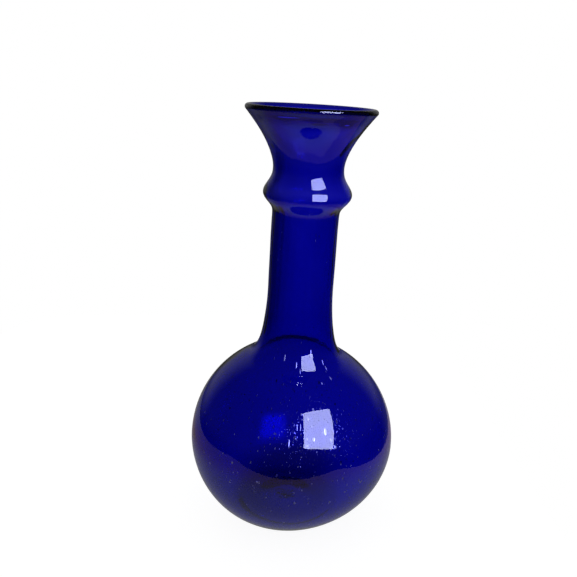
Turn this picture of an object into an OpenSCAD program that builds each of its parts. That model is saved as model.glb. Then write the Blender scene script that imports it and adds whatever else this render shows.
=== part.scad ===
// A blown glass bottle vase: a round globe, a long neck with a hollow collar, and a flared mouth.
// It stands on a flat ground foot and leans a little, as it left the blowing iron.
// Heights run along the leaning axis, from the table up, in millimetres.

/* [Globe] */
// Widest diameter of the globe
globe_d = 127.2; // [112:0.2:142]
// Height of the globe's widest ring above the table
belly_h = 51; // [46:0.1:56]
// Height from the widest ring up to the root of the neck
shoulder_rise = 54.3; // [48:0.1:60]
// Wall of the globe
globe_wall = 3; // [2:0.1:4]

/* [Foot] */
// Outer diameter of the flat ring that stands on the table
foot_d = 61; // [54:0.5:68]
// Width of that flat ring
foot_ring_w = 8; // [6:0.1:10]
// Height of the push-up under the base
kick_rise = 4.5; // [3:0.1:5.5]
// Height of the inner floor at the wall's foot
floor_h = 5; // [4.4:0.1:7]
// Glass over the push-up
kick_wall = 3.5; // [3:0.1:7]
// Diameter of the pontil wad left in the push-up
wad_d = 16; // [12:0.5:20]
// Height of the pontil wad at its middle
wad_h = 1.8; // [1.3:0.1:2.4]

/* [Neck] */
// Diameter of the neck at its root, where it leaves the shoulder
root_d = 58; // [54:0.2:64]
// Wall at the root of the neck, measured level
root_wall = 3.4; // [2.6:0.1:4.4]
// Smallest diameter of the neck
waist_d = 39.2; // [36:0.1:44]
// Diameter of the neck just under the collar
neck_top_d = 39; // [36:0.1:43]
// Length over which the root runs out into the neck
root_run = 45; // [36:0.1:56]
// Length of the neck from there to the collar
neck_run = 44.8; // [36:0.1:52]
// Wall of the neck, collar and mouth, measured level
neck_wall = 2.6; // [2:0.1:3.2]

/* [Collar] */
// Widest diameter of the hollow collar
collar_d = 51.7; // [46:0.1:57]
// Height of the collar below its widest ring
collar_below = 10.4; // [8:0.1:13]
// Height of the collar above its widest ring
collar_above = 14.2; // [11:0.1:16]

/* [Mouth] */
// Diameter of the throat, between the collar and the flare
throat_d = 40.7; // [38:0.1:45]
// Length of the throat
throat_run = 1; // [0.6:0.1:5]
// Height of the flare, from the throat to the middle of the lip
flare_rise = 31.5; // [27:0.1:38]
// Outer diameter of the mouth
mouth_d = 74.6; // [67:0.2:86]
// Thickness of the round lip
lip_d = 3.6; // [3:0.1:4.6]
// Width of the flat that the lip sits on
lip_seat_w = 2.6; // [2.2:0.1:2.8]

/* [Stance] */
// Sideways lean of the axis from upright, in degrees
side_lean = 3.14; // [0:0.02:5]
// Forward lean of the axis from upright, in degrees
front_lean = 1.54; // [0:0.02:3]

/* [Hidden] */
$fn = 96;
// The push-up and its dimple are small caps of large balls, so these are drawn finer
ball_fn = 240;

// Steps along each stretch of the outline
belly_steps = 22;
crown_steps = 20;
root_steps = 14;
neck_steps = 3;
collar_steps = 9;
flare_steps = 12;

// The root of the neck swells slowly, and then flicks out to the shoulder in its last part
root_fade = 2.1;
flick_fade = 9.8;
flick_share = 0.41;
// How far the collar's hood lags before it turns in, and how late the mouth flares
hood_lag = 1.34;
flare_power = 1.58;
// How softly the inner floor turns up into the wall
floor_soft = 1.5;
// Hollow that the pontil iron left when it was cracked off
wad_dimple_d = 9;
wad_dimple_h = 0.5;
overrun = 1;

// Radii of the outside
globe_r = globe_d / 2;
foot_r = foot_d / 2;
root_r = root_d / 2;
waist_r = waist_d / 2;
neck_top_r = neck_top_d / 2;
collar_r = collar_d / 2;
throat_r = throat_d / 2;

// Heights along the axis
root_h = belly_h + shoulder_rise;
waist_h = root_h + root_run;
crease_h = waist_h + neck_run;
collar_h = crease_h + collar_below;
collar_top_h = collar_h + collar_above;
throat_h = collar_top_h + throat_run;
mouth_h = throat_h + flare_rise;

// Half heights of the two half ellipses of the globe, which pass through the foot and the root
belly_drop = belly_h / sqrt(1 - pow(foot_r / globe_r, 2));
crown_rise = shoulder_rise / sqrt(1 - pow(root_r / globe_r, 2));

// The lip is a round ring, cut flat where it sits on the end of the wall
lip_r = lip_d / 2;
lip_ring_r = mouth_d / 2 - lip_r;
lip_sink = sqrt(pow(lip_r, 2) - pow(lip_seat_w / 2, 2));
seat_h = mouth_h - lip_sink;

// The push-up is the cap of a ball, and the wad's dimple another
kick_r = foot_r - foot_ring_w;
kick_ball_r = (pow(kick_r, 2) + pow(kick_rise, 2)) / (2 * kick_rise);
dimple_ball_r = (pow(wad_dimple_d / 2, 2) + pow(wad_dimple_h, 2)) / (2 * wad_dimple_h);

// Shares of the way along a stretch, without its start
function shares(n) = [for (i = [1:n]) i / n];

// Slow at both ends, like a drawn glass curve
function ease(t) = (1 - cos(180 * t)) / 2;

// Quarter ellipse from the globe's widest ring up to a given radius
function crown(ring_r, rise, end_r) =
    [for (t = shares(crown_steps))
        let (a = t * acos(end_r / ring_r))
        [ring_r * cos(a), belly_h + rise * sin(a)]];

// What is left of the root's swell when a share of the way is left
function swell(left) =
    (1 - flick_share) * pow(left, root_fade) + flick_share * pow(left, flick_fade);

// Root of the neck, with its steps closer together near the shoulder
function root(from, end_r) =
    [for (s = shares(root_steps))
        let (t = pow(s, 2))
        [end_r + (from.x - end_r) * swell(1 - t), from.y + (waist_h - from.y) * t]];

// Eased curve between two points, which may lag towards the first
function drawn(from, to, n, lag = 1) =
    [for (t = shares(n))
        let (e = 1 - ease(pow(1 - t, lag)))
        [from.x + (to.x - from.x) * e, from.y + (to.y - from.y) * t]];

// Trumpet curve from the throat to the lip's seat
function flare(from_r, to_r) =
    [for (t = shares(flare_steps))
        [from_r + (to_r - from_r) * pow(t, flare_power), throat_h + (seat_h - throat_h) * t]];

// One face of the wall above the widest ring: gap is 0 outside, and the neck's wall inside
function upper_face(crown_points, gap, end_r) =
    concat(
        crown_points,
        root(crown_points[crown_steps - 1], waist_r - gap),
        drawn([waist_r - gap, waist_h], [neck_top_r - gap, crease_h], neck_steps),
        drawn([neck_top_r - gap, crease_h], [collar_r - gap, collar_h], collar_steps),
        drawn([collar_r - gap, collar_h], [throat_r - gap, collar_top_h], collar_steps, hood_lag),
        [[throat_r - gap, throat_h]],
        flare(throat_r - gap, end_r));

// Lower half of the globe outside, from the axis to the widest ring
function belly_outside() =
    [for (t = concat([0], shares(belly_steps)))
        [globe_r * sin(90 * t), belly_h - belly_drop * cos(90 * t)]];

// The higher of two heights, rounded off where they cross
function soft_max(a, b) = max(a, b) + floor_soft * ln(1 + exp(-abs(a - b) / floor_soft));

// The lower half of the globe inside: the wall, down to a flat floor
function belly_inside() =
    [for (t = concat([0], shares(belly_steps)))
        [(globe_r - globe_wall) * sin(90 * t),
            soft_max(belly_h - (belly_drop - globe_wall) * cos(90 * t), floor_h)]];

function outside() =
    concat(
        belly_outside(),
        upper_face(crown(globe_r, crown_rise, root_r), 0, lip_ring_r + lip_seat_w / 2));

function inside() =
    concat(
        belly_inside(),
        upper_face(
            crown(globe_r - globe_wall, crown_rise - globe_wall, root_r - root_wall),
            neck_wall,
            lip_ring_r - lip_seat_w / 2));

function reversed(points) = [for (i = [len(points) - 1:-1:0]) points[i]];

// The axis tips about the middle of the globe
module leaning() {
    translate([0, 0, belly_h])
        rotate([front_lean, 0, 0])
            rotate([0, side_lean, 0])
                translate([0, 0, -belly_h])
                    children();
}

module kick_ball(extra = 0) {
    translate([0, 0, kick_rise - kick_ball_r])
        sphere(r = kick_ball_r + extra, $fn = ball_fn);
}

// Rise of the inner floor over the push-up, from inside the base's glass
module floor_hump() {
    intersection() {
        kick_ball(kick_wall);
        translate([0, 0, floor_h / 2])
            cylinder(r = foot_r, h = kick_rise + kick_wall);
    }
}

// The blown bubble: foot, globe, neck, hollow collar and flared mouth in one wall
module vessel() {
    color("mediumblue")
        difference() {
            union() {
                leaning()
                    rotate_extrude()
                        polygon(concat(outside(), reversed(inside())));
                floor_hump();
            }
            translate([0, 0, -belly_drop])
                cylinder(r = globe_r, h = belly_drop);
            kick_ball();
        }
}

// The round lip, a bead of glass seated on the flat end of the wall
module lip_wrap() {
    color("midnightblue")
        leaning()
            rotate_extrude()
                intersection() {
                    translate([lip_ring_r, mouth_h])
                        circle(r = lip_r);
                    translate([0, seat_h])
                        square([mouth_d, lip_d]);
                }
}

// Scar of the pontil iron: a wad of glass in the push-up, hollow where it was cracked off
module pontil_wad() {
    color("royalblue")
        difference() {
            intersection() {
                kick_ball();
                translate([0, 0, kick_rise - wad_h])
                    cylinder(d = wad_d, h = wad_h + overrun);
            }
            translate([0, 0, kick_rise - wad_h + wad_dimple_h - dimple_ball_r])
                sphere(r = dimple_ball_r, $fn = ball_fn);
        }
}

vessel();
lip_wrap();
pontil_wad();
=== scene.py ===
# %% [markdown]
# A hand-blown bottle vase of deep cobalt glass, seen on a white ground.
#
# The real vase is one bubble of glass: a round globe, a long neck with a hollow collar pushed
# up in it, and a flared mouth with a thick fire-polished lip. It was blown and swung by hand,
# so it leans a little, its wall is uneven and small air bubbles, called seeds, are frozen in it.
# This file dresses the plain CAD solids: it makes the glass as one closed skin with its seeds,
# gives it a material that colours light by the length of glass it passes, and then sets up a
# small photo studio, because glass shows nothing but what stands around it.

# %% Load the frame
import math

import bpy
import numpy as np
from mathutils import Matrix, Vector


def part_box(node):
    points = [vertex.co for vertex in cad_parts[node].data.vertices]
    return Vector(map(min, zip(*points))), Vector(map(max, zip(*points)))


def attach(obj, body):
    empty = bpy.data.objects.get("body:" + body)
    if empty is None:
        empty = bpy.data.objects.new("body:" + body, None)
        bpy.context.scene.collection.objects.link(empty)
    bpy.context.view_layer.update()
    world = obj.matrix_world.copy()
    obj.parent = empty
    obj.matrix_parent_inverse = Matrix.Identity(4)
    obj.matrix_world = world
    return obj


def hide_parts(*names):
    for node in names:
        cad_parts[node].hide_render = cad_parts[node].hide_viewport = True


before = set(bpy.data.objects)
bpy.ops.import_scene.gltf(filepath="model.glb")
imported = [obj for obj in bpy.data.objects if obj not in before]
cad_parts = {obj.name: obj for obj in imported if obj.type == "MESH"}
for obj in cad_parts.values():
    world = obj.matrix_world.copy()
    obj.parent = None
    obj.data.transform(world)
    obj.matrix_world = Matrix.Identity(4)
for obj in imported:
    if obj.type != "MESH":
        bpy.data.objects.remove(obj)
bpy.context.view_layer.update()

# %% [markdown]
# Sizes. Everything is in metres, in the frame of the CAD: the vase stands on z = 0 with the
# middle of its foot at the origin, and its neck leans towards +X. The widest sizes are read
# from the CAD pieces, so the two models can't drift apart. The rest are the same named sizes
# as in the CAD source, written in millimetres times mm.

# %% Sizes of the vase
mm = 0.001
vessel_low, vessel_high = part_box("vessel")
lip_low, lip_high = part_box("lip_wrap")
wad_low, wad_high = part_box("pontil_wad")

globe_r = (vessel_high.y - vessel_low.y) / 2
mouth_r = (lip_high.y - lip_low.y) / 2
wad_r = (wad_high.y - wad_low.y) / 2

belly_h, shoulder_rise, globe_wall = 51 * mm, 54.3 * mm, 3 * mm
foot_r, foot_ring_w, kick_rise = 30.5 * mm, 8 * mm, 4.5 * mm
floor_h, floor_soft, kick_wall = 5 * mm, 1.5 * mm, 3.5 * mm
wad_h, wad_hollow = 1.8 * mm, 0.5 * mm
root_r, root_wall, root_run = 29 * mm, 3.4 * mm, 45 * mm
waist_r, neck_top_r, neck_run, neck_wall = 19.6 * mm, 19.5 * mm, 44.8 * mm, 2.6 * mm
collar_r, collar_below, collar_above = 25.85 * mm, 10.4 * mm, 14.2 * mm
throat_r, throat_run, flare_rise = 20.35 * mm, 1 * mm, 31.5 * mm
lip_r, lip_seat_w = 1.8 * mm, 2.6 * mm
side_lean, front_lean = math.radians(3.14), math.radians(1.54)
root_fade, flick_fade, flick_share = 2.1, 9.8, 0.41
hood_lag, flare_power = 1.34, 1.58

# Heights along the leaning axis, from the table up
root_h = belly_h + shoulder_rise
waist_h = root_h + root_run
crease_h = waist_h + neck_run
collar_h = crease_h + collar_below
collar_top_h = collar_h + collar_above
throat_h = collar_top_h + throat_run
mouth_h = throat_h + flare_rise

# Half heights of the two half ellipses of the globe, which pass through the foot and the root
belly_drop = belly_h / math.sqrt(1 - (foot_r / globe_r) ** 2)
crown_rise = shoulder_rise / math.sqrt(1 - (root_r / globe_r) ** 2)
print("Globe", round(2 * globe_r / mm, 1), "mm wide, mouth", round(2 * mouth_r / mm, 1), "mm")

# %% [markdown]
# The outline. A blown vase is a body of revolution, so most of it is one curve in the plane of
# radius and height. A modeller could draw that curve by hand and use a Screw modifier. Here each
# stretch is a short formula instead, because then every size above still moves it: an ellipse for
# the shoulder, a curve that dies away for the root of the neck, slow-in and slow-out curves for
# the collar, and a power curve for the flared mouth.

# %% Stretches of the outline
crown_steps, root_steps, drawn_steps, flare_steps = 60, 60, 24, 40


def shares(n):
    """Shares of the way along a stretch, 1/n to 1, without its start."""
    return np.arange(1, n + 1) / n


def crown(ring_r, rise, end_r):
    """Quarter ellipse from the widest ring: radius = ring_r cos a, height = belly_h + rise sin a."""
    a = shares(crown_steps) * np.arccos(end_r / ring_r)
    return np.stack([ring_r * np.cos(a), belly_h + rise * np.sin(a)], 1)


def root(start, end_r):
    """Root of the neck: a slow and a fast power of the way left, which share what is over end_r."""
    t = shares(root_steps) ** 2
    swell = (1 - flick_share) * (1 - t) ** root_fade + flick_share * (1 - t) ** flick_fade
    return np.stack([end_r + (start[0] - end_r) * swell, start[1] + (waist_h - start[1]) * t], 1)


def drawn(start, end, lag=1):
    """Eased curve: the radius follows half a cosine wave, which lags towards the start."""
    t = shares(drawn_steps)
    ease = (1 + np.cos(np.pi * (1 - t) ** lag)) / 2
    return np.stack([start[0] + (end[0] - start[0]) * ease, start[1] + (end[1] - start[1]) * t], 1)


def flare(from_r, to_r, to_h):
    """Trumpet curve: the radius grows with the power flare_power of the way up."""
    t = shares(flare_steps)
    return np.stack([from_r + (to_r - from_r) * t**flare_power, throat_h + (to_h - throat_h) * t], 1)


print("Axis heights in mm:", [round(v / mm, 1) for v in (root_h, waist_h, crease_h, collar_h, mouth_h)])

# %% The wall above the widest ring
lip_ring_r = mouth_r - lip_r
seat_h = mouth_h - math.sqrt(lip_r**2 - (lip_seat_w / 2) ** 2)


def upper_wall(ring_r, rise, root_ring_r, gap, seat_r):
    """One face of the wall from the globe's widest ring to the lip. gap is 0 outside."""
    shoulder = np.concatenate([[[ring_r, belly_h]], crown(ring_r, rise, root_ring_r)])
    neck_root = root(shoulder[-1], waist_r - gap)
    neck = drawn((waist_r - gap, waist_h), (neck_top_r - gap, crease_h))
    collar = drawn((neck_top_r - gap, crease_h), (collar_r - gap, collar_h))
    hood = drawn((collar_r - gap, collar_h), (throat_r - gap, collar_top_h), hood_lag)
    throat = [[throat_r - gap, throat_h]]
    trumpet = flare(throat_r - gap, seat_r, seat_h)
    return np.concatenate([shoulder, neck_root, neck, collar, hood, throat, trumpet])


outside = upper_wall(globe_r, crown_rise, root_r, 0, lip_ring_r + lip_seat_w / 2)
inside = upper_wall(
    globe_r - globe_wall, crown_rise - globe_wall, root_r - root_wall,
    neck_wall, lip_ring_r - lip_seat_w / 2)
print("Outline points outside and inside:", len(outside), len(inside))

# %% [markdown]
# Hot glass has no sharp corner. Where two stretches meet, the outline is averaged over a few
# millimetres of its own length, which turns each kink into the small fillet that surface tension
# leaves. Inside the root of the neck, where the wall was pulled while it was softest, it is
# averaged over twice that length.

# %% Soften both outlines
corner_blur, root_blur, root_reach = 1.5 * mm, 3 * mm, 10 * mm


def along(points):
    """Length along the outline at each point."""
    return np.concatenate([[0], np.cumsum(np.hypot(*np.diff(points, axis=0).T))])


def softened(points, blur, step=0.25 * mm):
    """Average of the outline with a bell curve of half-width blur; its two ends stay put."""
    s = along(points)
    even = np.arange(0, s[-1], step)
    line = np.stack([np.interp(even, s, points[:, k]) for k in (0, 1)], 1)
    n = int(4 * blur / step)
    bell = np.exp(-0.5 * (np.arange(-n, n + 1) * step / blur) ** 2)
    bell /= bell.sum()
    before = 2 * line[0] - line[n:0:-1]
    after = 2 * line[-1] - line[-2 : -n - 2 : -1]
    padded = np.concatenate([before, line, after])
    return np.stack([np.convolve(padded[:, k], bell, "valid") for k in (0, 1)], 1)


def hill(h, middle, reach):
    """Smooth hill: exp(-((h - middle) / reach) squared), which is 1 at the middle."""
    return np.exp(-(((h - middle) / reach) ** 2))


outside = softened(outside, corner_blur)
sharper, softer = softened(inside, corner_blur), softened(inside, root_blur)
inside = sharper + hill(sharper[:, 1:2], root_h, root_reach) * (softer - sharper)
print("Outline points after softening:", len(outside), len(inside))

# %% [markdown]
# The inner face isn't a copy of the outer one. The wall is a little thinner where it was drawn out
# most, at the root of the neck and round the collar, and thicker just under the rim, where the
# mouth was reheated and the glass ran together. Each is a small hill or ramp on the inner radius.
# They are worth the trouble, because cobalt glass shows every tenth of a millimetre as a change in
# its blue. The rings are then spread so that they lie closer where the outline bends: a collar
# needs many, the straight neck few.

# %% Thin and thicken the inner face, then spread the rings
root_thinner, root_thin_reach = 0.8 * mm, 9 * mm
collar_thinner, collar_thin_reach = 0.7 * mm, 7 * mm
rim_gather, gather_reach = 2.1 * mm, 12 * mm
rings_per_face = 172


def spread(points, n, bend_length=14 * mm):
    """n points whose spacing shrinks as one over 1 + bend_length times the curvature."""
    s = along(points)
    turn = np.unwrap(np.arctan2(*np.gradient(points, s, axis=0).T))
    weight = 1 + bend_length * np.abs(np.gradient(turn, s))
    at = np.concatenate([[0], np.cumsum((weight[1:] + weight[:-1]) / 2 * np.diff(s))])
    new = np.interp(np.linspace(0, at[-1], n), at, s)
    return np.stack([np.interp(new, s, points[:, k]) for k in (0, 1)], 1)


thin_root = root_thinner * hill(inside[:, 1], root_h, root_thin_reach)
thin_collar = collar_thinner * hill(inside[:, 1], collar_h, collar_thin_reach)
inside[:, 0] += thin_root + thin_collar
gather = np.clip((inside[:, 1] - (seat_h - gather_reach)) / gather_reach, 0, 1)
inside[:, 0] -= rim_gather * gather**2
outside, inside = spread(outside, rings_per_face), spread(inside, rings_per_face)
print("Rings on each face of the upper wall:", rings_per_face)

# %% [markdown]
# The lip. The mouth was reheated until its edge gathered into a thick round bead, and that bead
# melted into the wall. In the picture no seam shows, so here it isn't a ring laid on top: the skin
# simply runs up the outside, round the bead and down the inside.

# %% Lip bead
lip_rings, lip_end = 24, math.radians(145)
seat_turn = math.acos(lip_seat_w / 2 / lip_r)
lip_turn = np.linspace(-seat_turn, lip_end, lip_rings + 1)[1:]
lip = np.stack([lip_ring_r + lip_r * np.cos(lip_turn), mouth_h + lip_r * np.sin(lip_turn)], 1)
print("Lip bead", 2 * lip_r / mm, "mm thick")

# %% [markdown]
# From outline to surface. Each ring becomes a row of points round the axis. Four things that a
# lathe wouldn't give are added as formulas on the whole grid: the leans of the axis about the
# middle of the globe, to the side and to the front; the foot, which was pushed a few millimetres
# sideways when the base was flattened; the collar, which sits slightly off the axis; and a sag,
# since the rings of the neck and collar hang lower in front than behind.

# %% Place rings in the frame
segments = 150
round_angle = np.arange(segments) / segments * 2 * np.pi
foot_shift = -3.3 * mm
collar_push, push_reach = 0.65 * mm, 16 * mm
front_sag, sag_from, sag_end = 1.2 * mm, belly_h + 20 * mm, throat_h + 8 * mm


def between(h, low, high):
    """Eased step from 0 at low to 1 at high."""
    t = np.clip((h - low) / (high - low), 0, 1)
    return t * t * (3 - 2 * t)


def tipped(a, b, angle):
    """A pair of coordinates turned by an angle: a cos + b sin and b cos - a sin."""
    return a * math.cos(angle) + b * math.sin(angle), b * math.cos(angle) - a * math.sin(angle)


def placed(r, h, phi):
    """Point (r cos phi, r sin phi) at height h along the axis, sagged, drifted and leaned."""
    sag = front_sag * between(h, sag_from, root_h) * (1 - between(h, collar_top_h, sag_end))
    drift = collar_push * hill(h, collar_h, push_reach)
    h = h + sag * np.sin(phi)
    x, y, up = r * np.cos(phi) + drift, r * np.sin(phi), h - belly_h
    x, up = tipped(x, up, side_lean)
    y, up = tipped(y, up, -front_lean)
    x = x + foot_shift * np.clip(-up / belly_h, 0, 1) ** 2
    return np.stack([x, y, belly_h + up], -1)


mouth_middle = placed(0, mouth_h, 0)
print("Middle of the mouth in mm:", [round(float(v) / mm, 1) for v in mouth_middle])

# %% [markdown]
# The hand in the glass. Its outside is nearly true, because it was turned against wet wood and
# paper. Its inside was only ever shaped by breath, so it wanders more, and in the neck, which was
# pulled long, the unevenness is drawn out into faint upright streaks. Each is a sum of a few
# waves round and along the vase. The waves come from a seeded generator, so every run gives the
# same vase. Under the lip the front of the trumpet also bulges a little, on both its faces.

# %% Unevenness of the wall
chance = np.random.default_rng(7)
run_least, run_most = 0.7, 1.8
bulge, bulge_below, bulge_reach, bulge_narrowness = 1.5 * mm, 6 * mm, 7.5 * mm, 3
lip_calm = 6 * mm


def uneven(h, phi, size, round_waves, run, count=12):
    """Sum of waves cos(m phi + 2 pi h / length + start), m up to round_waves, lengths near run."""
    total = np.zeros(np.broadcast(h, phi).shape)
    for _ in range(count):
        m = chance.integers(0, round_waves + 1)
        length = run * chance.uniform(run_least, run_most) * chance.choice([-1, 1])
        total += np.cos(m * phi + 2 * np.pi * h / length + chance.uniform(0, 2 * np.pi))
    return size * total / math.sqrt(count / 2)


def front_bulge(h, phi):
    """Hill under the lip times exp(-narrowness (1 + sin phi)), 1 in front and near 0 behind."""
    front = np.exp(-bulge_narrowness * (1 + np.sin(phi)))
    return bulge * hill(h, mouth_h - bulge_below, bulge_reach) * front


def below_lip(h):
    """1 in the wall and 0 at the lip's seat, so that the lip itself stays a true ring."""
    return 1 - between(h, seat_h - lip_calm, seat_h)


print("The front of the trumpet bulges", bulge / mm, "mm at most")

# %% The outside wall as a grid
# Each kind of unevenness: how deep it is, how many waves go round at most, and how long they run
turned_waves, neck_waves = (0.07 * mm, 5, 60 * mm), (0.035 * mm, 9, 35 * mm)
neck_waves_from, neck_waves_full = root_h - 25 * mm, root_h + 20 * mm

phi = round_angle[None, :]
h = outside[:, 1:2]
outer_r = front_bulge(h, phi) * below_lip(h) + outside[:, 0:1] + below_lip(h) * uneven(h, phi, *turned_waves)
outer_r += below_lip(h) * between(h, neck_waves_from, neck_waves_full) * uneven(h, phi, *neck_waves)
outer_grid = placed(outer_r, h, phi)
print("Outside wall grid:", outer_grid.shape[:2])

# %% The lip and the inside wall as grids
breath_waves, neck_streaks = (0.05 * mm, 4, 55 * mm), (0.05 * mm, 26, 400 * mm)
trumpet_ripples, globe_ripples = (0.14 * mm, 14, 14 * mm), (0.04 * mm, 7, 30 * mm)
streaks_full = waist_h - 10 * mm
ripples_full, ripples_fade = mouth_h - 15 * mm, mouth_h - 8 * mm
globe_ripples_fade = belly_h + 10 * mm

lip_grid = placed(lip[:, 0:1] + 0 * phi, lip[:, 1:2] + 0 * phi, phi)

h = inside[::-1, 1:2]
in_neck = between(h, root_h, streaks_full) * (1 - between(h, crease_h, collar_h))
in_trumpet = between(h, throat_h, ripples_full) * (1 - between(h, ripples_fade, mouth_h))
in_globe = 1 - between(h, globe_ripples_fade, root_h)
inner_r = inside[::-1, 0:1] + uneven(h, phi, *breath_waves) * below_lip(h)
inner_r += front_bulge(h, phi) * below_lip(h)
inner_r += in_neck * uneven(h, phi, *neck_streaks)
inner_r += in_trumpet * uneven(h, phi, *trumpet_ripples)
inner_r += in_globe * uneven(h, phi, *globe_ripples)
inner_grid = placed(inner_r, h, phi)
print("Inside wall grid:", inner_grid.shape[:2])

# %% [markdown]
# The base. Below the widest ring the outside is half an ellipse, cut by the table. Since the
# ellipse leans, it meets the table at a different height along its curve on each side, and a
# small piece of trigonometry gives that place for every angle at once. Inside the flat ring that
# the vase stands on, the base is pushed up into a shallow dome, the kick, and in its middle is the
# scar where the pontil iron was cracked off.

# %% Lower half of the globe, outside
belly_rings = 44
calm_foot, waves_full, belly_join = 2 * mm, 20 * mm, 25 * mm

tilt_up = belly_drop * math.cos(side_lean) * math.cos(front_lean)
tilt_side = np.cos(phi) * math.sin(side_lean) * math.cos(front_lean)
tilt_round = globe_r * (tilt_side - np.sin(phi) * math.sin(front_lean))
table_angle = np.arctan2(tilt_round, tilt_up) - np.arcsin(belly_h / np.hypot(tilt_up, tilt_round))
t = (np.arange(belly_rings) / belly_rings)[:, None]
a = table_angle * (1 - t)
h = belly_h + belly_drop * np.sin(a)
belly_r = globe_r * np.cos(a) + between(h, calm_foot, waves_full) * uneven(h, phi, *turned_waves)
# The last ring takes on the waves of the wall above it, so that the two meet without a step
join = between(h, belly_h - belly_join, belly_h)
belly_r += join * (outer_r[0] - globe_r - (belly_r[-1] - globe_r * np.cos(a[-1])))
belly_grid = placed(belly_r, h, phi)
belly_grid[0, :, 2] = 0
print("Foot touches the table at z =", belly_grid[0, :, 2].max())

# %% Flat ring, kick and pontil scar
kick_r = foot_r - foot_ring_w
kick_ball_r = (kick_r**2 + kick_rise**2) / (2 * kick_rise)
dome_power, pole_r, scar_rings, dome_rings, flat_rings = 1.6, 0.6 * mm, 12, 9, 3
scar_edge, hollow_r, scar_out, dome_in = 0.9 * wad_r, 0.9 * wad_r, 1.1 * wad_r, 1.25 * wad_r
chip_waves, chips_fade = (0.1 * mm, 9, 5 * mm), 0.7 * wad_r


def kick_height(r):
    """Dome kick_rise (1 - (r / kick_r) squared) to a power, less the wad with its broken hollow."""
    dome = kick_rise * (1 - (r / kick_r) ** 2) ** dome_power
    wad = wad_h * (1 - between(r, wad_r - scar_edge, wad_r))
    hollow = wad_hollow * (1 - between(r, 0, hollow_r))
    return dome - wad + hollow * (r < wad_r)


scar_radii = np.linspace(pole_r, scar_out, scar_rings)
dome_radii = np.linspace(dome_in, kick_r, dome_rings)
kick_radii = np.concatenate([scar_radii, dome_radii])[:, None]
chips = uneven(kick_radii, phi, *chip_waves) * (1 - between(kick_radii, chips_fade, wad_r))
kick_grid = np.stack([
    foot_shift + kick_radii * np.cos(phi),
    kick_radii * np.sin(phi),
    kick_height(kick_radii) + chips], -1)
kick_grid[-1, :, 2] = 0
share = shares(flat_rings + 1)[:-1, None, None]
ring_grid = kick_grid[-1] * (1 - share) + belly_grid[0] * share
kick_pole = np.array([[foot_shift, 0, kick_height(0.0)]])
print("Kick", kick_rise / mm, "mm high, scar", round(2 * wad_r / mm, 1), "mm across")

# %% [markdown]
# Inside, the wall follows the outside down to a flat floor, where glass pooled at the bottom of
# the bubble, and the floor rises over the kick. These heights are joined by a soft maximum, which
# is the logarithm of a sum of exponentials: it follows the higher of two heights and rounds the
# line where they meet.

# %% Lower half of the globe, inside
floor_rings, hump_soft = 48, 2.4 * mm
floor_waves, floor_waves_full, floor_join = (0.05 * mm, 6, 40 * mm), 30 * mm, 22 * mm

t = (1 - np.arange(1, floor_rings + 1) / (floor_rings + 1))[:, None]
inner_globe_r = globe_r - globe_wall
bowl = belly_h - (belly_drop - globe_wall) * np.cos(np.pi / 2 * t)
h = np.logaddexp(bowl / floor_soft, floor_h / floor_soft) * floor_soft
true_r = inner_globe_r * np.sin(np.pi / 2 * t)
r = true_r + between(h, floor_h, floor_waves_full) * uneven(h, phi, *floor_waves)
join = between(h, belly_h - floor_join, belly_h)
r = r + join * (inner_r[-1] - inner_globe_r - (r[0] - true_r[0]))


def over_kick(point):
    """Soft maximum of the floor's height and of the dome over the kick."""
    away = np.hypot(point[..., 0] - foot_shift, point[..., 1])
    ball = kick_ball_r + kick_wall
    hump = kick_rise - kick_ball_r + np.sqrt(np.clip(ball**2 - away**2, 0, None))
    high = np.logaddexp(point[..., 2] / hump_soft, hump / hump_soft) * hump_soft
    return np.stack([point[..., 0], point[..., 1], high], -1)


floor_grid = over_kick(placed(r, h, phi))
floor_pole = over_kick(placed(np.zeros(1), np.full(1, floor_h), np.zeros(1)))
print("Floor over the kick at", round(float(floor_pole[0, 2]) / mm, 1), "mm")

# %% [markdown]
# Seeds. They are bubbles of air inside the wall. A true hollow of that size is lost between the
# dots of the picture, so each is made as a small closed body in the same mesh, with its faces
# turned inwards, as a hollow in the glass has them, and a silvery skin of its own. There are over
# a thousand, so each is a ball of only twenty-four faces.

# %% One small ball
ball_round, ball_rows = 6, 4
lat = (np.arange(1, ball_rows) / ball_rows * np.pi)[:, None]
lon = (np.arange(ball_round) / ball_round * 2 * np.pi)[None, :]
ball = np.stack([np.sin(lat) * np.cos(lon), np.sin(lat) * np.sin(lon), np.cos(lat) + 0 * lon], -1)
ball = np.concatenate([ball.reshape(-1, 3), [[0, 0, 1], [0, 0, -1]]])
north, south = len(ball) - 2, len(ball) - 1


def grid_faces(rows, columns):
    """Quads of a grid that closes round its columns, each as four point numbers."""
    i, j = np.meshgrid(np.arange(rows - 1), np.arange(columns), indexing="ij")
    here, beside = i * columns + j, i * columns + (j + 1) % columns
    return np.stack([here, beside, beside + columns, here + columns], -1).reshape(-1, 4)


def cap_faces(ring_start, columns, pole):
    """Triangles that close a ring onto one point."""
    j = np.arange(columns)
    return np.stack([np.full(columns, pole), ring_start + j, ring_start + (j + 1) % columns], -1)


ball_quads = grid_faces(ball_rows - 1, ball_round)
last_row = (ball_rows - 2) * ball_round
ball_caps = np.concatenate([
    cap_faces(0, ball_round, north)[:, ::-1],
    cap_faces(last_row, ball_round, south)])
print("Faces on one seed:", len(ball_quads) + len(ball_caps))

# %% [markdown]
# Where the seeds lie. Half of them are spread over the whole wall, most of them low in the globe,
# because the neck was pulled from a small part of the glass and has few. The other half lie in
# one cloud on the front, where a pinch of the batch melted badly. Each place is a length along
# the outline and an angle round the axis, drawn at random with a fixed start.

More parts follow.
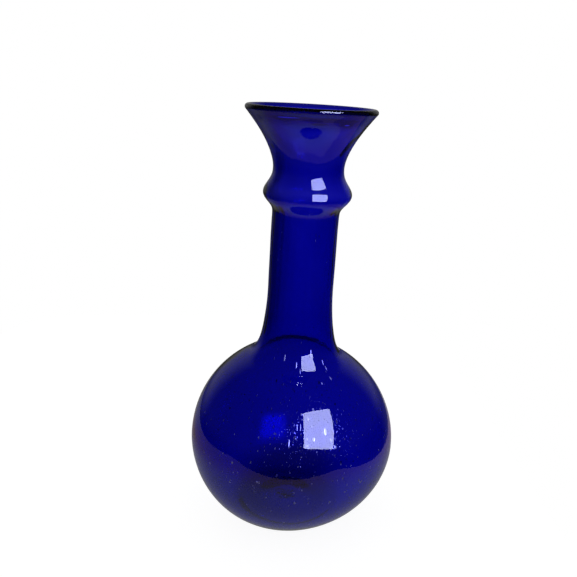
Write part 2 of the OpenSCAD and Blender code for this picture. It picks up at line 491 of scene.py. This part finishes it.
# %% Places drawn at random
seed_count, lowest_turn, low_steps, least_crowding = 1150, -0.75, 40, 0.2
low_turn = np.linspace(lowest_turn, 0, low_steps)[:-1]
low_line = np.stack([globe_r * np.cos(low_turn), belly_h + belly_drop * np.sin(low_turn)], 1)
wall_line = np.concatenate([low_line, outside])
wall_s = along(wall_line)

crowd_heights = [0, belly_h, root_h, waist_h, collar_top_h, throat_h]
crowd_shares = [1, 1, 0.45, 0.05, 0.05, 0]
crowding = np.interp(wall_line[:, 1], crowd_heights, crowd_shares)
crowding = crowding * np.clip(wall_line[:, 0] / globe_r, least_crowding, 1)
filled = np.concatenate([[0], np.cumsum((crowding[1:] + crowding[:-1]) / 2 * np.diff(wall_s))])
seed_s = np.interp(chance.uniform(0, filled[-1], seed_count), filled, wall_s)
seed_phi = chance.uniform(0, 2 * np.pi, seed_count)

cloud_share, cloud_phi, cloud_h = 0.5, math.radians(-77), belly_h + 30 * mm
cloud_tall, cloud_wide = 9 * mm, math.radians(11)
in_cloud = chance.uniform(0, 1, seed_count) < cloud_share
cloud_s = np.interp(cloud_h, wall_line[:, 1], wall_s)
seed_s[in_cloud] = chance.normal(cloud_s, cloud_tall, in_cloud.sum())
seed_phi[in_cloud] = chance.normal(cloud_phi, cloud_wide, in_cloud.sum())
print("Seeds:", seed_count, "of which in the cloud:", int(in_cloud.sum()))

# %% [markdown]
# The larger bubbles are few enough to be known one by one on the real vase: long thin ones, which
# were stretched with the shoulder, a group round the window's reflection, and round ones low in
# the globe. So they are listed, each where the real one has it.

# %% The larger bubbles, listed one by one
# Degrees right of the front, height, half the width and half the length in millimetres
beside_window = [
    (1.2, 84, 0.22, 2.2), (3.2, 84, 0.22, 2.2), (18, 81.5, 0.9, 2.4), (8, 88, 0.6, 1.4),
    (11, 78, 0.6, 1.4), (7, 75, 1, 0.9), (23, 73, 1, 1.2), (21, 77, 0.7, 1.3),
    (-3, 76, 0.35, 2.3), (12, 92, 0.5, 1.1), (4, 90, 0.5, 0.8)]
on_shoulder = [
    (-18, 113, 0.35, 2.2), (-1, 110, 0.35, 2), (4, 107, 0.35, 1.7), (20, 116, 0.5, 2.5),
    (37, 110, 0.4, 1.8), (39, 107, 0.4, 1.6), (37, 103, 0.4, 1.4), (25, 102, 0.5, 0.9)]
in_window = [
    (8, 88.6, 0.35, 0.7), (10, 84.4, 0.35, 0.9), (7, 78.4, 0.3, 0.8), (10, 78.3, 0.3, 0.8),
    (17, 92, 0.3, 0.4)]
low_in_globe = [
    (2, 41, 0.9, 1), (21, 40, 0.8, 0.8), (-18, 52, 0.7, 0.7), (-34, 46, 0.6, 0.6),
    (-13, 43, 0.5, 0.5), (-24, 34, 0.6, 0.6), (-10, 33, 0.5, 0.5), (10, 54, 0.4, 0.5),
    (29, 45, 0.6, 0.6), (-28, 44, 0.5, 0.5), (39, 30, 0.7, 0.7), (-33, 59, 0.7, 0.8),
    (5, 50, 0.6, 0.6), (39, 48, 0.7, 0.8), (-17, 52, 0.6, 0.7), (14, 20, 0.7, 0.8),
    (-2, 23, 0.6, 0.7), (-49, 51, 0.7, 0.8)]
bubbles = np.array(beside_window + on_shoulder + in_window + low_in_globe)
# Those above this height sparkle like the seeds of the cloud, and the others are hazy
clear_above = 60
bubble_phi = np.radians(bubbles[:, 0] - 90)
seed_phi = np.concatenate([bubble_phi, seed_phi])
seed_s = np.concatenate([np.interp(bubbles[:, 1] * mm, wall_line[:, 1], wall_s), seed_s])
in_cloud = np.concatenate([bubbles[:, 1] > clear_above, in_cloud])
print("Larger bubbles:", len(bubbles))

# %% [markdown]
# Their shapes. A seed is pulled along the vase where the glass was stretched, and pressed flat
# between the two faces of the wall, so it is long, less wide, and thin. Nearly all are tiny and a
# few are much larger, which a high power of a random number gives.

# %% Length, width and thickness of each seed
finest_clear, tail_clear = 0.085 * mm, 0.22 * mm
finest_hazy, tail_hazy = 0.4 * mm, 0.4 * mm
size_power, stretch_least, stretch_more, stretch_spread = 5, 1.15, 1.6, 0.4
finer_when_stretched, stretch_from, flat_least, flat_most = 0.5, belly_h + 25 * mm, 0.12, 0.3

seed_r = np.interp(seed_s, wall_s, wall_line[:, 0])
seed_h = np.interp(seed_s, wall_s, wall_line[:, 1])
clear = in_cloud[len(bubbles) :]
size = np.where(clear, tail_clear, tail_hazy) * chance.uniform(0, 1, seed_count) ** size_power
size = np.where(clear, finest_clear, finest_hazy) + size
stretched = between(seed_h[len(bubbles) :], stretch_from, root_h)
stretch = stretch_least + stretch_more * stretched + chance.uniform(0, stretch_spread, seed_count)
size = size * (1 - finer_when_stretched * stretched)
seed_long = np.concatenate([bubbles[:, 3] * mm, size * stretch])
seed_wide = np.concatenate([bubbles[:, 2] * mm, size / np.sqrt(stretch)])
seed_flat = seed_wide * chance.uniform(flat_least, flat_most, len(seed_wide))
print("Largest seed", round(float(2 * seed_long.max()) / mm, 2), "mm long")

# %% Seeds as turned-in balls
# Least depth under the surface, and how much more it can be, for clear seeds and for hazy ones
least_clear, more_clear, least_hazy, more_hazy = 0.07 * mm, 0.6 * mm, 0.2 * mm, 0.9 * mm
depth_power, bubble_depth, slope_step = 1.7, 0.1 * mm, 1 * mm

shallow = np.where(in_cloud, least_clear, least_hazy)
deeper = np.where(in_cloud, more_clear, more_hazy)
ahead, back = seed_s + slope_step, seed_s - slope_step
slope = np.stack([
    np.interp(ahead, wall_s, wall_line[:, k]) - np.interp(back, wall_s, wall_line[:, k])
    for k in (0, 1)], 1)
slope /= np.linalg.norm(slope, axis=1, keepdims=True)
along_r, along_h = slope[:, 0:1], slope[:, 1:2]
local = ball[None, :, :] * np.stack([seed_flat, seed_wide, seed_long], 1)[:, None, :]
deep = shallow + deeper * chance.uniform(0, 1, len(in_cloud)) ** depth_power
deep[: len(bubbles)] = bubble_depth
deep = (deep + seed_flat)[:, None]
at_r = seed_r[:, None] + (local[..., 0] - deep) * along_h + local[..., 2] * along_r
at_h = seed_h[:, None] - (local[..., 0] - deep) * along_r + local[..., 2] * along_h
at_phi = seed_phi[:, None] + local[..., 1] / seed_r[:, None]
seed_points = placed(at_r, at_h, at_phi).reshape(-1, 3)
print("Points on all the seeds:", len(seed_points))

# %% [markdown]
# One closed skin. All rings are stacked from the scar under the base, up the outside, over the
# lip and down the inside to the floor, and neighbouring rings are joined by quads. The volume
# inside the skin, worked out from its faces, must be positive: that says the faces look outwards.
# The seeds' volume must be negative, because their faces look inwards.

# %% Join everything into one mesh
rings = np.concatenate([kick_grid, ring_grid, belly_grid, outer_grid, lip_grid, inner_grid, floor_grid])
ring_count = len(rings)
skin_points = np.concatenate([rings.reshape(-1, 3), kick_pole, floor_pole])
skin_quads = grid_faces(ring_count, segments)
kick_cap = cap_faces(0, segments, ring_count * segments)[:, ::-1]
floor_cap = cap_faces((ring_count - 1) * segments, segments, ring_count * segments + 1)

offset = len(skin_points) + np.arange(len(seed_phi))[:, None, None] * len(ball)
seed_quads = (ball_quads[None] + offset).reshape(-1, 4)
seed_tris = (ball_caps[None] + offset).reshape(-1, 3)
points = np.concatenate([skin_points, seed_points])
quads = np.concatenate([skin_quads, seed_quads])
tris = np.concatenate([kick_cap, floor_cap, seed_tris])


def volume(*face_sets):
    """Volume inside the faces: the sum over a fan of triangles of a . (b x c) / 6."""
    total = 0
    for faces in face_sets:
        a, b = points[faces[:, 0]], points[faces[:, 1:]]
        for k in range(b.shape[1] - 1):
            total += np.einsum("ij,ij->", a, np.cross(b[:, k], b[:, k + 1])) / 6
    return total


cm3 = (10 * mm) ** 3
print("Glass in the skin, cm3:", round(volume(skin_quads, kick_cap, floor_cap) / cm3, 1))
print("Air in the seeds, cm3:", round(volume(seed_quads, seed_tris) / cm3, 4))

# %% The glass as an object
mesh = bpy.data.meshes.new("blown_glass")
mesh.from_pydata(points.tolist(), [], quads.tolist() + tris.tolist())
mesh.update()
mesh.shade_smooth()
blown_glass = bpy.data.objects.new("blown_glass", mesh)
bpy.context.scene.collection.objects.link(blown_glass)
print("Triangles in the glass:", 2 * len(quads) + len(tris))

# %% [markdown]
# How deep the blue is. The bead at the mouth gathered while it was reheated and is nearly black,
# and the neck is a darker blue than the globe. The left of both is darker than the right, which is
# painted shade on the side away from the window. That can't come from the depth of glass alone,
# so a colour attribute on the points carries it, tint and painted shade together, and tints the
# light that passes the surface. An attribute is used instead of a texture, because the skin has
# points enough to hold so soft a change.

# %% Tint of each point, and painted shade on its left side
wall_tint, lip_tint = (0.8, 0.8, 0.95, 1), (0.4, 0.4, 0.35, 1)
neck_from, neck_full = root_h + 5 * mm, root_h + 30 * mm
# The side terms below are painted shade: less blue on the left, away from the window
globe_blue, globe_side_shade, globe_most = 0.93, 0.13, 1.05
neck_blue, neck_side_shade, neck_left_edge_shade, edge_shade_end = 0.4, 0.2, 0.3, -0.65

# Every ring starts at the right, so a point's number tells its side: 1 at the right, -1 at the left
side = np.cos(np.arange(len(points)) % segments / segments * 2 * np.pi)
above_root = between(points[:, 2], neck_from, neck_full)
# Painted shade: the blue falls towards the left of the globe and of the neck, most at the neck's left edge
blue_low = np.minimum(globe_blue + globe_side_shade * side, globe_most)
blue_high = neck_blue + neck_side_shade * between(side, -1, 0) + neck_left_edge_shade * between(side, -1, edge_shade_end)
tint_and_shade = np.tile(wall_tint, (len(points), 1))
tint_and_shade[:, 2] *= blue_low + above_root * (blue_high - blue_low)
lip_start = (len(kick_grid) + len(ring_grid) + len(belly_grid) + len(outer_grid)) * segments
tint_and_shade[lip_start : lip_start + len(lip_grid) * segments] = lip_tint
tints = mesh.color_attributes.new("tint_and_shade", "FLOAT_COLOR", "POINT")
tints.data.foreach_set("color", tint_and_shade.ravel())
print("Points with the lip's tint:", len(lip_grid) * segments)

# %% [markdown]
# Cobalt glass. Clear glass with a pinch of cobalt isn't blue on its surface, it is blue all the
# way through: the longer the way through it, the deeper the colour. So the surface has only the
# slight tint above, and the colour sits in a Volume Absorption node. Its colour says which light
# is let through, and its density how much is taken away per metre. Two walls together are about
# six millimetres, and that is enough to leave nothing but blue.

# %% Cobalt glass material
bends_light, let_through, taken_per_metre = 1.5, (0.0, 0.0, 0.84, 1), 1300
cobalt = bpy.data.materials.new("cobalt_glass")
cobalt.use_nodes = True
nodes, links = cobalt.node_tree.nodes, cobalt.node_tree.links
surface = nodes["Principled BSDF"]
tint_reader = nodes.new("ShaderNodeAttribute")
tint_reader.attribute_name = "tint_and_shade"
links.new(tint_reader.outputs["Color"], surface.inputs["Base Color"])
surface.inputs["Roughness"].default_value = 0.0
surface.inputs["IOR"].default_value = bends_light
surface.inputs["Transmission Weight"].default_value = 1.0
depth = nodes.new("ShaderNodeVolumeAbsorption")
depth.inputs["Color"].default_value = let_through
depth.inputs["Density"].default_value = taken_per_metre
links.new(depth.outputs["Volume"], nodes["Material Output"].inputs["Volume"])
mesh.materials.append(cobalt)
print("Material:", cobalt.name)

# %% [markdown]
# Seen from within the glass, a bubble is silvery, because its skin throws back all light that
# meets it at a slant. So its skin is drawn as that silver. The seeds of the cloud and the clear
# bubbles lie just under the surface and sparkle: they are a metal, and flat faces, shaded each by
# itself, make them glint. Those low in the globe lie in the reflection of the table and look like
# haze, so theirs is half a metal, darker and rougher.

# %% Seed materials
def seed_skin(name, colour, metal, roughness):
    """Silver of a seed: colour is what it throws back, and roughness how widely."""
    material = bpy.data.materials.new(name)
    material.use_nodes = True
    skin = material.node_tree.nodes["Principled BSDF"]
    skin.inputs["Base Color"].default_value = (*colour, 1)
    skin.inputs["Metallic"].default_value = metal
    skin.inputs["Roughness"].default_value = roughness
    return material


silver_blue, dim_blue = (0.36, 0.38, 0.8), (0.13, 0.13, 0.3)
mesh.materials.append(seed_skin("seed_sparkle", silver_blue, metal=1.0, roughness=0.25))
mesh.materials.append(seed_skin("seed_haze", dim_blue, metal=0.5, roughness=0.6))
seed_finish = np.where(in_cloud, 1, 2)
finish = np.concatenate([
    np.zeros(len(skin_quads)), np.repeat(seed_finish, len(ball_quads)),
    np.zeros(len(kick_cap) + len(floor_cap)), np.repeat(seed_finish, len(ball_caps))])
mesh.polygons.foreach_set("material_index", finish.astype(np.int32))
mesh.polygons.foreach_set("use_smooth", finish == 0)
print("Seeds that sparkle:", int(in_cloud.sum()), "and hazy ones:", int((~in_cloud).sum()))

# %% [markdown]
# Handing the glass over. The CAD has three solids, the vessel, its lip and the pontil wad, but
# once they are hot they are one body of glass, and light sees no border between them. So one piece
# takes the place of all three. It rides on the root body, since nothing on a vase moves.

# %% The glass takes the place of the CAD pieces
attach(blown_glass, "root")
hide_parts("vessel", "lip_wrap", "pontil_wad")
print("One piece of glass stands for the vessel, its lip and its pontil wad")

# %% [markdown]
# The studio. The camera looks slightly down from about 0.4 metres. The ground and the backdrop
# are white, and glass shows them wherever the eye looks through it. What makes the glass read as
# glass are the reflections: a tall window at the right of the camera, which gives the bright
# panes on the globe, shoulder, collar and lip, and the pale table, which the lower globe and the
# underside of the flared mouth mirror as a thin lilac veil. The rest of the room is dim.

# %% Camera
camera_data = bpy.data.cameras.new("camera")
camera = bpy.data.objects.new("camera", camera_data)
bpy.context.scene.collection.objects.link(camera)
bpy.context.scene.camera = camera
bpy.context.scene.view_settings.view_transform = "Standard"
camera_distance, camera_height, camera_side = 395 * mm, 258.2 * mm, -1.9 * mm
camera_pitch = math.radians(15.75)
metre_per_pixel, picture_width = 0.583 * mm, 577
film_width, nearest = 36, 10 * mm
camera_data.sensor_width = film_width
camera_data.lens = film_width * camera_distance / metre_per_pixel / picture_width
camera_data.clip_start = nearest
camera.location = (camera_side, -camera_distance, camera_height)
camera.rotation_euler = (math.pi / 2 - camera_pitch, 0, 0)
print("Lens:", round(camera_data.lens, 1), "mm")

# %% [markdown]
# Light by the kind of ray. A photographer hides and shows things with flags and cards. A renderer
# can do it with the Light Path node, which tells whether a ray comes straight from the camera,
# went through glass or was mirrored. The studio needs only a few kinds of nodes for that, so each
# has a small helper here, and the cells below can then be read like sums.

# %% Helpers for numbers in a node tree
def feed(tree, socket, value):
    """Set a socket to a plain value, or link it to another node's output."""
    if isinstance(value, bpy.types.NodeSocket):
        tree.links.new(value, socket)
    else:
        socket.default_value = value


def calc(tree, operation, *values):
    """Math node on plain numbers and outputs of other nodes."""
    node = tree.nodes.new("ShaderNodeMath")
    node.operation = operation
    for socket, value in zip(node.inputs, values):
        feed(tree, socket, value)
    return node.outputs[0]


def ramp(tree, source, low, high, at_low, at_high):
    """Eases from at_low to at_high while its source runs from low to high."""
    node = tree.nodes.new("ShaderNodeMapRange")
    node.interpolation_type = "SMOOTHSTEP"
    settings = {"Value": source, "From Min": low, "From Max": high, "To Min": at_low, "To Max": at_high}
    for name, value in settings.items():
        feed(tree, node.inputs[name], value)
    return node.outputs["Result"]


def coordinates(tree, source="Object"):
    """X, Y and Z where a ray lands, in metres, or where it heads in the world."""
    where = tree.nodes.new("ShaderNodeTexCoord")
    split = tree.nodes.new("ShaderNodeSeparateXYZ")
    tree.links.new(where.outputs[source], split.inputs[0])
    return split.outputs


print("Number helpers: feed, calc, ramp and coordinates")

# %% Helpers for shaders in a node tree
white = (1, 1, 1, 1)


def blend(tree, factor, first, second, kind="ShaderNodeMixShader"):
    """Mix of two shaders or numbers: first where factor is 0, second where it is 1."""
    node = tree.nodes.new(kind)
    sockets = [socket for socket in node.inputs if socket.enabled]
    for socket, value in zip(sockets, (factor, first, second)):
        feed(tree, socket, value)
    return next(socket for socket in node.outputs if socket.enabled)


def shine(tree, colour, strength, kind="ShaderNodeEmission"):
    """Light of a colour and strength, each a plain value or another node's output."""
    node = tree.nodes.new(kind)
    feed(tree, node.inputs["Color"], colour)
    feed(tree, node.inputs["Strength"], strength)
    return node.outputs[0]


def show(tree, shader, kind="ShaderNodeOutputMaterial"):
    """Lead a shader to the output of its tree."""
    tree.links.new(shader, tree.nodes.new(kind).inputs["Surface"])


print("Shader helpers: blend, shine and show")

# %% [markdown]
# The room. To the camera and through the glass the world is plain white. A mirrored ray sees a
# dim room instead: nearly black in front, so that the globe stays deep blue, and paler behind the
# vase, which gives the soft streaks along the edges of the shoulder. A dark band lies a little
# below the horizon, because the edges of the neck and collar mirror that part of the room and are
# dark in the picture. All other light that meets the table is plain and even.

# %% Light from all round
room_front, room_back = 0.025, 0.22
back_from, back_full = 0.45, 0.85
band_below, band_half, band_fade = 0.22, 0.05, 0.3
in_band, off_band = 0.3, 1.3
even_light, room_grey = 0.5, (0.8, 0.8, 0.8, 1)

world = bpy.data.worlds.new("room")
bpy.context.scene.world = world
world.use_nodes = True
tree = world.node_tree
tree.nodes.clear()
path = tree.nodes.new("ShaderNodeLightPath")
heading = coordinates(tree, "Generated")
behind = ramp(tree, heading["Y"], back_from, back_full, room_front, room_back)
from_band = calc(tree, "ABSOLUTE", calc(tree, "ADD", heading["Z"], band_below))
banded = calc(tree, "MULTIPLY", behind, ramp(tree, from_band, band_half, band_fade, in_band, off_band))
strength = blend(tree, path.outputs["Is Glossy Ray"], even_light, banded, "ShaderNodeMix")
room = shine(tree, room_grey, strength, "ShaderNodeBackground")
backdrop = shine(tree, white, 1.0, "ShaderNodeBackground")
see_white = calc(tree, "MAXIMUM", path.outputs["Is Camera Ray"], path.outputs["Is Transmission Ray"])
show(tree, blend(tree, see_white, room, backdrop), "ShaderNodeOutputWorld")
print("World: white behind the glass, a dim room in its reflections")

# %% [markdown]
# Cards. Everything else in the studio is a flat card: the table, the floor of the room, the window
# and a patch of light. A photographer stands such cards where only the glass can see them, and
# Blender does it by ray visibility: a card can be hidden from some kinds of rays, so the window
# is mirrored in the glass but doesn't light the table.

# %% Flat cards
def blank(name):
    """New material with an empty node tree."""
    material = bpy.data.materials.new(name)
    material.use_nodes = True
    material.node_tree.nodes.clear()
    return material, material.node_tree


def card(name, corners, material, *blind):
    """One flat face through the corners, in metres. The rays named in blind don't see it."""
    face = bpy.data.meshes.new(name)
    face.from_pydata([tuple(c) for c in corners], [], [tuple(range(len(corners)))])
    face.materials.append(material)
    piece = bpy.data.objects.new(name, face)
    bpy.context.scene.collection.objects.link(piece)
    for ray in blind:
        setattr(piece, "visible_" + ray, False)
    print("Card", name, "with", len(corners), "corners")
    return piece


# %% [markdown]
# The table is a white sheet. Its outline matters, because the edge of the lilac veil across the
# globe is the mirror image of the sheet's front and left edges, and the pale rim up the globe's
# sides is that of its far part. The outline is a rectangle with soft corners: a cosine and a sine
# raised to a small power. Its material differs by the ray. The camera sees bright white paint that
# keeps the vase's shadow. Through the glass the sheet is white too, but darker just behind the
# vase, where the shadow of so much glass lies. Mirrored, it is a pale grey that turns violet away
# from the foot, dims to the left, and is grey again at the back.

# %% Outline of the sheet
sheet_middle = (-85 * mm, -40 * mm)
sheet_side, sheet_front, sheet_back, sheet_power = 250 * mm, 152 * mm, 440 * mm, 8
under, round_points = -0.3 * mm, 120
turn = np.arange(round_points) / round_points * 2 * np.pi


def squared(wave):
    """Wave pushed towards 1 and -1: its sign times its size to the power 2 / sheet_power."""
    return np.sign(wave) * np.abs(wave) ** (2 / sheet_power)


sheet_reach = np.where(np.sin(turn) < 0, sheet_front, sheet_back)
sheet_x = sheet_middle[0] + sheet_side * squared(np.cos(turn))
sheet_y = sheet_middle[1] + sheet_reach * squared(np.sin(turn))
print("Sheet from y =", round(sheet_y.min(), 3), "to", round(sheet_y.max(), 3), "m")

# %% What mirrored rays see of the sheet
white_board, tree = blank("white_board")


def distance(point):
    """Distance in the board's tree from a fixed point to where the ray lands."""
    node = tree.nodes.new("ShaderNodeVectorMath")
    node.operation = "DISTANCE"
    node.inputs[1].default_value = point
    tree.links.new(tree.nodes.new("ShaderNodeTexCoord").outputs["Object"], node.inputs[0])
    return node.outputs["Value"]


# Each change: where it starts, where it ends, the value before and the value after
brighter_off_foot, dimmer_at_left = (50 * mm, 140 * mm, 0.27, 0.34), (-250 * mm, 0.0, 0.55, 1.0)
green_off_foot, green_at_back = (90 * mm, 200 * mm, 1, 0.68), (50 * mm, 200 * mm, 0.6, 0.97)

away, spot = distance((0, 0, 0)), coordinates(tree)
# Painted light on the mirrored sheet: darker near the foot is a painted shadow of the vase, and dimmer at
# the left is painted shade away from the window
near_foot = ramp(tree, away, *brighter_off_foot)
from_left = ramp(tree, spot["X"], *dimmer_at_left)
green = calc(tree, "MAXIMUM", ramp(tree, away, *green_off_foot), ramp(tree, spot["Y"], *green_at_back))
violet = tree.nodes.new("ShaderNodeCombineColor")
violet.inputs["Red"].default_value = 1
violet.inputs["Blue"].default_value = 1
tree.links.new(green, violet.inputs["Green"])
mirrored = shine(tree, violet.outputs["Color"], calc(tree, "MULTIPLY", near_foot, from_left))
print("Least green in the sheet's reflection:", green_off_foot[-1])

# %% What the camera sees of the sheet, and what shows through the glass
paint, lift = (0.24, 0.24, 0.24, 1), 0.93
shadow_middle, shadow_fade = (0, 43 * mm, under), (16 * mm, 55 * mm, 0.36, 0.96)

through_glass = ramp(tree, distance(shadow_middle), *shadow_fade)
seen_paint = tree.nodes.new("ShaderNodeBsdfDiffuse")
seen_paint.inputs["Color"].default_value = paint
lifted = tree.nodes.new("ShaderNodeAddShader")
tree.links.new(seen_paint.outputs[0], lifted.inputs[0])
tree.links.new(shine(tree, white, lift), lifted.inputs[1])
path = tree.nodes.new("ShaderNodeLightPath")
behind_glass = shine(tree, white, through_glass)
not_camera = blend(tree, path.outputs["Is Transmission Ray"], mirrored, behind_glass)
show(tree, blend(tree, path.outputs["Is Camera Ray"], not_camera, lifted.outputs[0]))
card("sheet", np.stack([sheet_x, sheet_y, np.full(len(turn), under)], 1), white_board)

# %% [markdown]
# Beyond the sheet a mirrored ray falls past the table to the floor of the room, which is dim and
# violet. Only the underside of the collar and of the flared mouth look that way.

# %% The floor of the room, which only reflections see
floor_r, floor_drop, floor_strength, floor_violet = 1.4, -0.75, 0.19, (1, 0.65, 1, 1)
lit_floor, tree = blank("lit_floor")
show(tree, shine(tree, floor_violet, floor_strength))
floor_ring = np.stack([floor_r * np.cos(turn), floor_r * np.sin(turn), np.full(len(turn), floor_drop)], 1)
card("floor", floor_ring, lit_floor, "camera", "diffuse", "transmission", "shadow")

# %% [markdown]
# The window. Its reflections are the brightest things on the vase: a large slanted pane on the
# globe and smaller ones on the shoulder, the collar and the lip. Its four corners are given as
# directions seen from the middle of the globe, since that is how they were read from the
# reflection. It fades towards its edges as a real window with a sill and curtains does, but only
# for rays that have been through glass, because the first reflection is crisp. Transmission Depth
# counts how often a ray went through a surface, and the mix turns on it.

# %% The window
window_away, window_strength, window_within = 1.2, 16.0, 12.0
sky_blue = (0.52, 0.56, 1.0, 1)
# Degrees right of the camera and degrees above the horizon
window_corners = [(20, 54), (12.5, 13), (44, 6), (62.5, 47)]
# Each fade: where it starts and ends in metres, the share of the light before and after
left_edge, right_edge = (0.24, 0.32, 0.4, 1), (0.62, 0.84, 1, 0.15)
sill, head = (0.2, 0.32, 0.4, 1), (0.55, 0.86, 1, 0.1)


def seen_from_globe(side, up, away):
    """Point away metres from the globe's middle, side degrees right of the camera and up degrees high."""
    side, up = math.radians(side), math.radians(up)
    heading = Vector((math.sin(side) * math.cos(up), -math.cos(side) * math.cos(up), math.sin(up)))
    return heading * away + Vector((0, 0, belly_h))


daylight, tree = blank("daylight")
spot = coordinates(tree)
sideways = calc(tree, "MULTIPLY", ramp(tree, spot["X"], *left_edge), ramp(tree, spot["X"], *right_edge))
upright = calc(tree, "MULTIPLY", ramp(tree, spot["Z"], *sill), ramp(tree, spot["Z"], *head))
within = calc(tree, "MULTIPLY", calc(tree, "MULTIPLY", sideways, upright), window_within)
passes = tree.nodes.new("ShaderNodeLightPath").outputs["Transmission Depth"]
strength = blend(tree, passes, window_strength, within, "ShaderNodeMix")
show(tree, shine(tree, sky_blue, strength))
corners = [seen_from_globe(side, up, window_away) for side, up in window_corners]
card("window", corners, daylight, "camera", "diffuse", "shadow")

# %% [markdown]
# The blue square in the globe. The window is mirrored a second time, in the far wall of the globe,
# and shows as a bright blue square through the near one. That image needs hundreds of samples to
# come out smooth, so a soft glowing patch on the table behind the vase, seen only through the
# glass, stands for most of it.

# %% The patch of light behind the vase
patch_middle, patch_half = (-15 * mm, 109 * mm), (14 * mm, 31 * mm)
patch_edge, patch_core, flat_share = 1.0, 2.2, 0.4
patch_light, tree = blank("patch_light")
spot = coordinates(tree)


def soft_band(source, middle, half):
    """1 in the middle of a band and 0 at its edges, as the product of two ramps."""
    rise = ramp(tree, source, middle - half, middle - flat_share * half, 0, 1)
    fall = ramp(tree, source, middle + flat_share * half, middle + half, 1, 0)
    return calc(tree, "MULTIPLY", rise, fall)


across = soft_band(spot["X"], patch_middle[0], patch_half[0])
deep_in = soft_band(spot["Y"], patch_middle[1], patch_half[1])
glow = ramp(tree, calc(tree, "MULTIPLY", across, deep_in), 0, 1, patch_edge, patch_core)
show(tree, shine(tree, white, glow))
corners = [
    (patch_middle[0] + i * patch_half[0], patch_middle[1] + j * patch_half[1], under / 2)
    for i, j in ((-1, -1), (1, -1), (1, 1), (-1, 1))]
card("patch", corners, patch_light, "camera", "glossy", "diffuse", "shadow")
